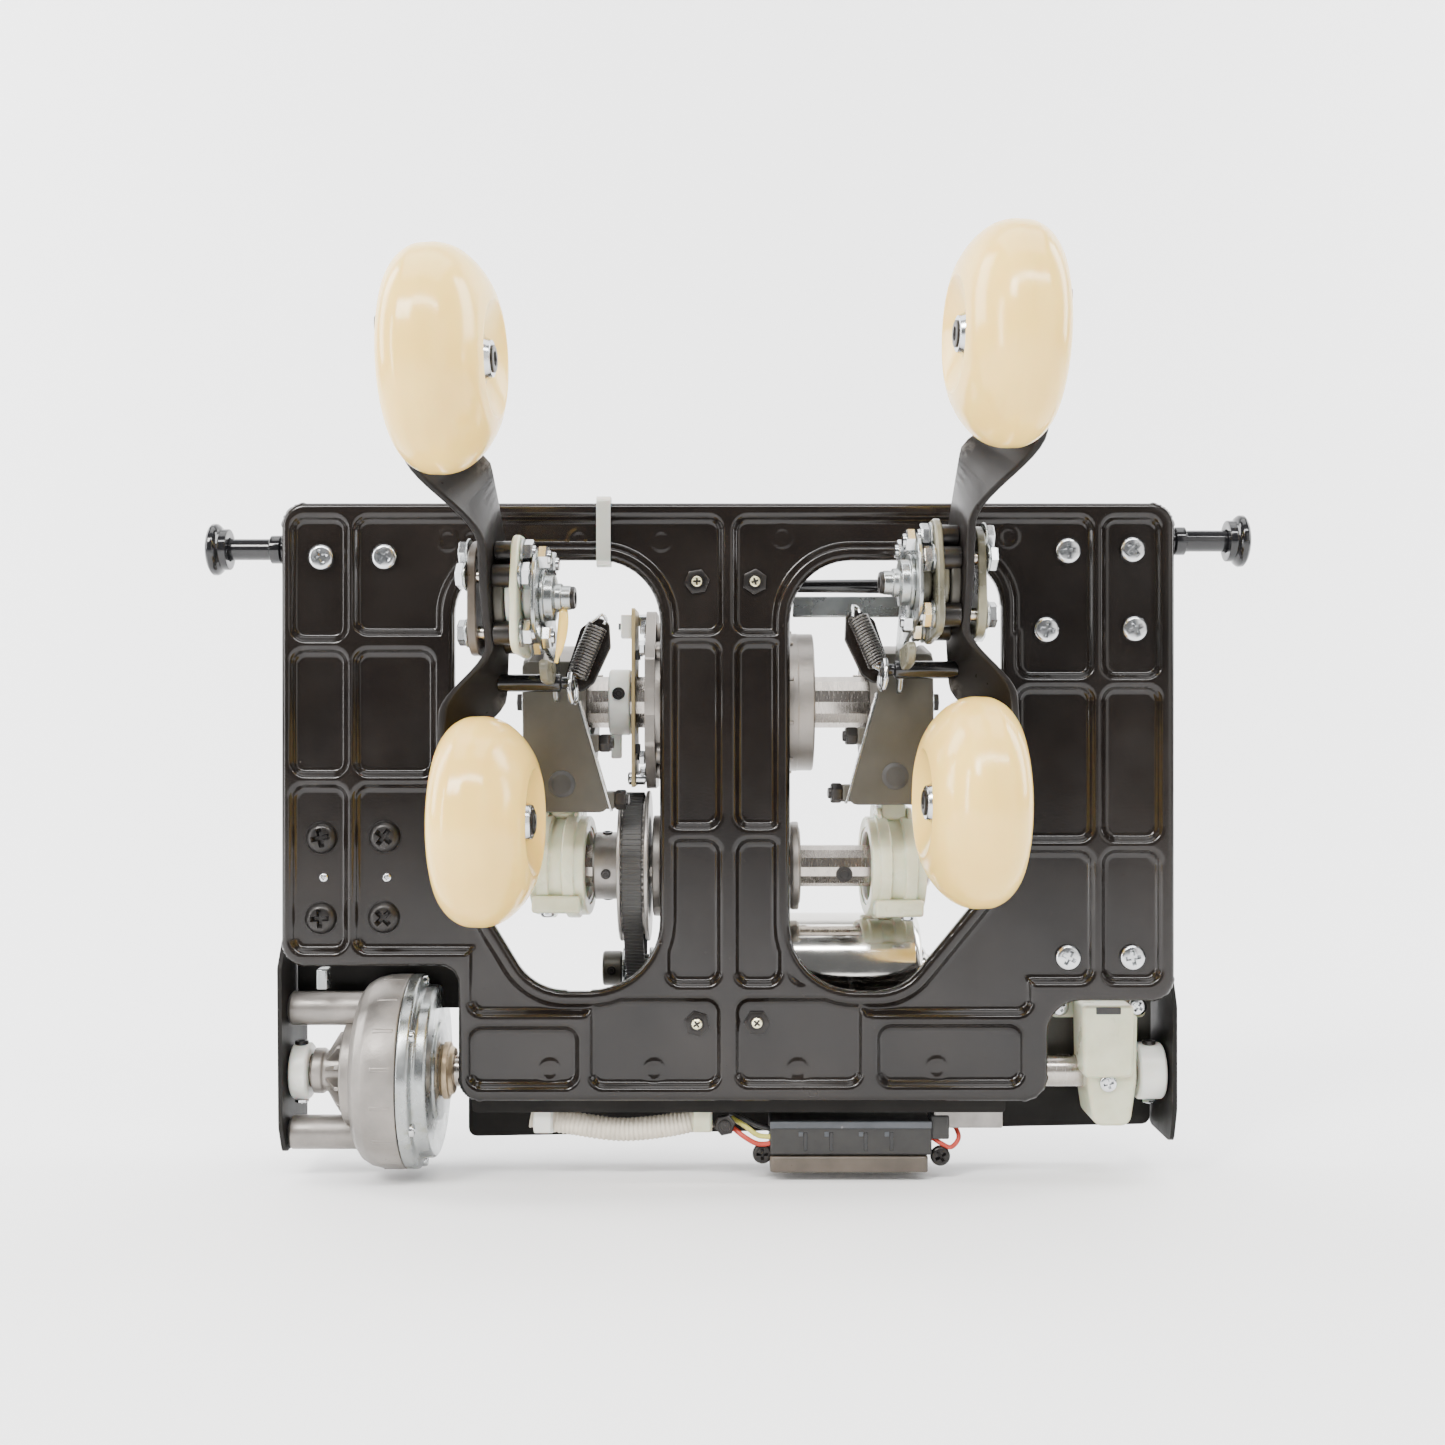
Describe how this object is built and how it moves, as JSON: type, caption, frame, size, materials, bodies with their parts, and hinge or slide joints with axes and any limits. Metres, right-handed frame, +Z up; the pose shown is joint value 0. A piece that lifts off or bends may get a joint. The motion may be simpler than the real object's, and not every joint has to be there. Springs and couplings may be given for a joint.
{
  "type": "back massage mechanism",
  "caption": "Rail-guided massage carriage: pressed plate, worm-driven kneading shaft, belt-driven tapping shaft and sprung arms with large rollers.",
  "frame": {"origin": "midway between the two guide rollers across and in height, in the plane of the front plate panels", "axes": "+X across the carriage along the shafts, +Y from the rollers to the rear, +Z up the rails"},
  "size_m": [0.4854, 0.2702, 0.4097],
  "materials": {
    "black_paint": "gloss black powder coat",
    "cast_aluminium": "as cast",
    "zinc": "zinc plated",
    "bright_steel": "ground and polished",
    "nylon": "milky natural nylon",
    "white_nylon": "white nylon",
    "brown_nylon": "brown nylon",
    "cream_plastic": "cream moulded plastic, polished",
    "black_rubber": "toothed belt rubber",
    "brass": "sintered bronze",
    "grey_plastic": "dark grey moulded",
    "board": "circuit board laminate"
  },
  "bodies": {
    "carriage": {"front_plate": "black_paint", "left_side_plate": "black_paint", "right_side_plate": "black_paint", "rear_plate": "black_paint", "shaft_wall": "zinc", "left_guide_bracket": "black_paint", "right_guide_bracket": "black_paint", "left_guide_axle": "black_paint", "right_guide_axle": "black_paint", "gearbox_left_half": "cast_aluminium", "gearbox_right_half": "cast_aluminium", "worm_housing": "cast_aluminium", "kneading_motor": "bright_steel", "sensor_board": "board", "tapping_housing": "cast_aluminium", "tapping_motor": "bright_steel", "timing_belt": "black_rubber", "lift_gearbox": "cast_aluminium", "lift_gearbox_cover": "zinc", "lift_bush": "brass", "lift_motor": "bright_steel", "shaft_block": "nylon", "connector_block": "grey_plastic", "connector_plate": "zinc", "wire_sleeve": "white_nylon", "cable_tie": "white_nylon"},
    "kneading_drive": {"kneading_shaft": "bright_steel", "shaft_collar": "nylon", "worm_wheel": "nylon"},
    "tapping_drive": {"tapping_shaft": "bright_steel", "tapping_pulley": "zinc"},
    "motor_drive": {"motor_pulley": "zinc"},
    "lift_drive": {"lift_shaft": "bright_steel", "left_lift_wheel": "white_nylon", "right_lift_wheel": "white_nylon", "lift_worm_wheel": "nylon"},
    "left_guide": {"left_guide_roller": "black_paint"},
    "right_guide": {"right_guide_roller": "black_paint"},
    "left_hub": {"left_hub_housing": "cast_aluminium"},
    "left_bracket": {"left_carrier": "zinc", "left_pivot_flange": "nylon", "left_spring": "black_paint"},
    "left_connecting_rod": {"left_rod": "nylon"},
    "left_swing_arm": {"left_arm": "black_paint", "left_arm_guard": "brown_nylon", "left_upper_bolt": "bright_steel", "left_lower_bolt": "bright_steel"},
    "left_upper_wheel": {"left_upper_roller": "cream_plastic"},
    "left_lower_wheel": {"left_lower_roller": "cream_plastic"},
    "right_hub": {"right_hub_housing": "cast_aluminium"},
    "right_bracket": {"right_carrier": "zinc", "right_pivot_flange": "nylon", "right_spring": "black_paint"},
    "right_connecting_rod": {"right_rod": "nylon"},
    "right_swing_arm": {"right_arm": "black_paint", "right_arm_guard": "brown_nylon", "right_upper_bolt": "bright_steel", "right_lower_bolt": "bright_steel"},
    "right_upper_wheel": {"right_upper_roller": "cream_plastic"},
    "right_lower_wheel": {"right_lower_roller": "cream_plastic"}
  },
  "joints": [
    {"name": "kneading_turn", "type": "hinge", "parent": "carriage", "child": "kneading_drive", "pos_m": [0, 0.036, -0.0733], "axis": [1, 0, 0], "continuous": true},
    {"name": "tapping_turn", "type": "hinge", "parent": "carriage", "child": "tapping_drive", "pos_m": [0, 0.032, -0.1514], "axis": [1, 0, 0], "continuous": true},
    {"name": "motor_turn", "type": "hinge", "parent": "carriage", "child": "motor_drive", "pos_m": [0, 0.05, -0.203], "axis": [1, 0, 0], "continuous": true},
    {"name": "lift_turn", "type": "hinge", "parent": "carriage", "child": "lift_drive", "pos_m": [0, 0.02, -0.247], "axis": [1, 0, 0], "continuous": true},
    {"name": "left_guide_spin", "type": "hinge", "parent": "carriage", "child": "left_guide", "pos_m": [0, 0.015, -0.002], "axis": [1, 0, 0], "continuous": true},
    {"name": "right_guide_spin", "type": "hinge", "parent": "carriage", "child": "right_guide", "pos_m": [0, 0.015, 0.002], "axis": [1, 0, 0], "continuous": true},
    {"name": "left_sway", "type": "hinge", "parent": "carriage", "child": "left_hub", "pos_m": [-0.078, 0.036, -0.0733], "axis": [0, 0, 1], "range_deg": [-4, 4]},
    {"name": "left_rock", "type": "hinge", "parent": "left_hub", "child": "left_bracket", "pos_m": [-0.078, 0.036, -0.0733], "axis": [0.9969, -0.0785, 0], "range_deg": [-7.4, 2.6]},
    {"name": "left_rod_turn", "type": "hinge", "parent": "left_bracket", "child": "left_connecting_rod", "pos_m": [-0.07787, 0.03759, -0.11127], "axis": [0.9969, -0.0785, 0], "range_deg": [-5.2, 14.6]},
    {"name": "left_arm_pivot", "type": "hinge", "parent": "left_bracket", "child": "left_swing_arm", "pos_m": [-0.09516, -0.04693, -0.02918], "axis": [0.9969, -0.0785, 0], "range_deg": [-8, 4], "deforming": ["left_spring"]},
    {"name": "left_upper_spin", "type": "hinge", "parent": "left_swing_arm", "child": "left_upper_wheel", "pos_m": [-0.1134, -0.1155, 0.05988], "axis": [0.9969, -0.0785, 0], "continuous": true},
    {"name": "left_lower_spin", "type": "hinge", "parent": "left_swing_arm", "child": "left_lower_wheel", "pos_m": [-0.10409, -0.05976, -0.12523], "axis": [0.9969, -0.0785, 0], "continuous": true},
    {"name": "right_sway", "type": "hinge", "parent": "carriage", "child": "right_hub", "pos_m": [0.078, 0.036, -0.0733], "axis": [0, 0, 1], "range_deg": [-4, 4]},
    {"name": "right_rock", "type": "hinge", "parent": "right_hub", "child": "right_bracket", "pos_m": [0.078, 0.036, -0.0733], "axis": [0.9969, 0.0785, 0], "range_deg": [-2.6, 7.4]},
    {"name": "right_rod_turn", "type": "hinge", "parent": "right_bracket", "child": "right_connecting_rod", "pos_m": [0.07812, 0.03441, -0.11127], "axis": [0.9969, 0.0785, 0], "range_deg": [-14.6, 5.2]},
    {"name": "right_arm_pivot", "type": "hinge", "parent": "right_bracket", "child": "right_swing_arm", "pos_m": [0.09485, -0.04296, -0.0223], "axis": [0.9969, 0.0785, 0], "range_deg": [-8, 4], "deforming": ["right_spring"]},
    {"name": "right_upper_spin", "type": "hinge", "parent": "right_swing_arm", "child": "right_upper_wheel", "pos_m": [0.11248, -0.10385, 0.07228], "axis": [0.9969, 0.0785, 0], "continuous": true},
    {"name": "right_lower_spin", "type": "hinge", "parent": "right_swing_arm", "child": "right_lower_wheel", "pos_m": [0.10441, -0.06375, -0.11689], "axis": [0.9969, 0.0785, 0], "continuous": true}
  ],
  "couplings": [
    {"joint": "motor_turn", "follows": "tapping_turn", "ratio": 4},
    {"joint": "left_rod_turn", "follows": "left_rock", "ratio": -1.948},
    {"joint": "right_rod_turn", "follows": "right_rock", "ratio": -1.948}
  ]
}
